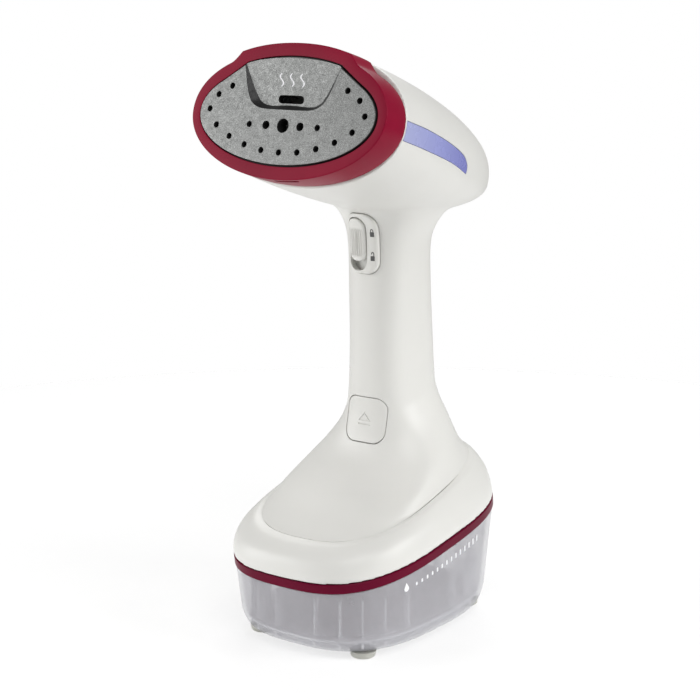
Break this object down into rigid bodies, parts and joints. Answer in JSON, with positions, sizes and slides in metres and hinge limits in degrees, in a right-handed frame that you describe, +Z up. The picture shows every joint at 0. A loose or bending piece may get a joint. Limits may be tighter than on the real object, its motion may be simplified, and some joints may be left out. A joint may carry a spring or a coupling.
{
  "type": "handheld garment steamer",
  "caption": "Upright garment steamer: wide oval steam head on a slim grip that flares into a weighted base standing on a detachable translucent water tank.",
  "frame": {"origin": "centre of the bounding box's footprint, on the surface the feet stand on", "axes": "+Z up; the steam plate faces -Y; +X is to the right of someone facing +Y"},
  "size_m": [0.1128, 0.1599, 0.2937],
  "materials": {
    "white_plastic": "satin moulded warm white",
    "crimson_plastic": "satin deep crimson",
    "plate_coating": "matte speckled grey non-stick coating",
    "grey_plastic": "matte moulded light grey",
    "tank_plastic": "frosted translucent",
    "light_plastic": "translucent light guide, pale blue violet",
    "silicone": "translucent silicone",
    "dark_rubber": "matte",
    "steel": "plain",
    "aluminium": "die cast",
    "copper": "enamelled copper wire",
    "circuit_board": "solder mask",
    "black_plastic": "matte"
  },
  "bodies": {
    "housing": {"main_housing": "white_plastic", "rear_cover": "white_plastic", "switch_panel": "white_plastic", "head_bezel": "crimson_plastic", "steam_plate": "plate_coating", "inner_chassis": "grey_plastic", "pump_body": "grey_plastic", "pump_cap": "grey_plastic", "base_plate": "grey_plastic", "water_socket": "grey_plastic", "light_strip_left": "light_plastic", "light_strip_right": "light_plastic", "plate_seal": "silicone", "steam_hose": "silicone", "pump_inlet_hose": "silicone", "cord_gland": "dark_rubber", "heating_element": "steel", "water_inlet": "steel", "thermostat": "steel", "pump_frame": "steel", "pump_spring": "steel", "release_spring": "steel", "cover_screw_1": "steel", "cover_screw_2": "steel", "base_screw_1": "steel", "base_screw_2": "steel", "base_screw_3": "steel", "base_screw_4": "steel", "steam_chamber": "aluminium", "pump_coil": "copper", "thermal_fuse": "copper", "control_board": "circuit_board", "led_board_left": "circuit_board", "led_board_right": "circuit_board", "micro_switch": "black_plastic", "power_relay": "black_plastic", "heater_cable": "black_plastic"},
    "tank": {"tank_shell": "tank_plastic", "tank_lid": "crimson_plastic", "tank_valve": "dark_rubber", "suction_pipe": "silicone", "intake_filter": "grey_plastic", "filler_pin": "steel", "tank_foot_1": "silicone", "tank_foot_2": "silicone", "tank_foot_3": "silicone", "tank_foot_4": "silicone"},
    "filler_cap": {"filler_cap": "dark_rubber"},
    "trigger_carriage": {"lock_slide": "grey_plastic", "trigger_spring": "steel"},
    "steam_trigger": {"steam_trigger": "white_plastic"},
    "release_button": {"release_button": "white_plastic"},
    "latch": {"tank_latch": "grey_plastic"},
    "pump_plunger": {"pump_plunger": "steel"}
  },
  "joints": [
    {"name": "tank_slide", "type": "slide", "parent": "housing", "child": "tank", "axis": [0, 0.1535, -0.9881], "range_m": [0, 0.06]},
    {"name": "filler_hinge", "type": "hinge", "parent": "tank", "child": "filler_cap", "pos_m": [0, 0.064, 0.0234], "axis": [-1, 0, 0], "range_deg": [0, 110]},
    {"name": "lock_travel", "type": "slide", "parent": "housing", "child": "trigger_carriage", "axis": [0, 0, -1], "range_m": [0, 0.0042]},
    {"name": "trigger_press", "type": "slide", "parent": "trigger_carriage", "child": "steam_trigger", "axis": [0, 1, 0], "range_m": [0, 0.0025], "stiffness_N_per_m": 300, "springref_m": -0.002, "deforming": ["trigger_spring"]},
    {"name": "release_press", "type": "slide", "parent": "housing", "child": "release_button", "axis": [0, 1, 0], "range_m": [0, 0.0025], "stiffness_N_per_m": 400, "springref_m": -0.002},
    {"name": "latch_travel", "type": "slide", "parent": "housing", "child": "latch", "axis": [0, 1, 0], "range_m": [0, 0.0025], "deforming": ["release_spring"]},
    {"name": "pump_stroke", "type": "slide", "parent": "housing", "child": "pump_plunger", "axis": [0, 1, 0], "range_m": [0, 0.003], "stiffness_N_per_m": 300, "springref_m": -0.002, "deforming": ["pump_spring"]}
  ],
  "couplings": [
    {"joint": "latch_travel", "follows": "release_press", "ratio": 1}
  ]
}
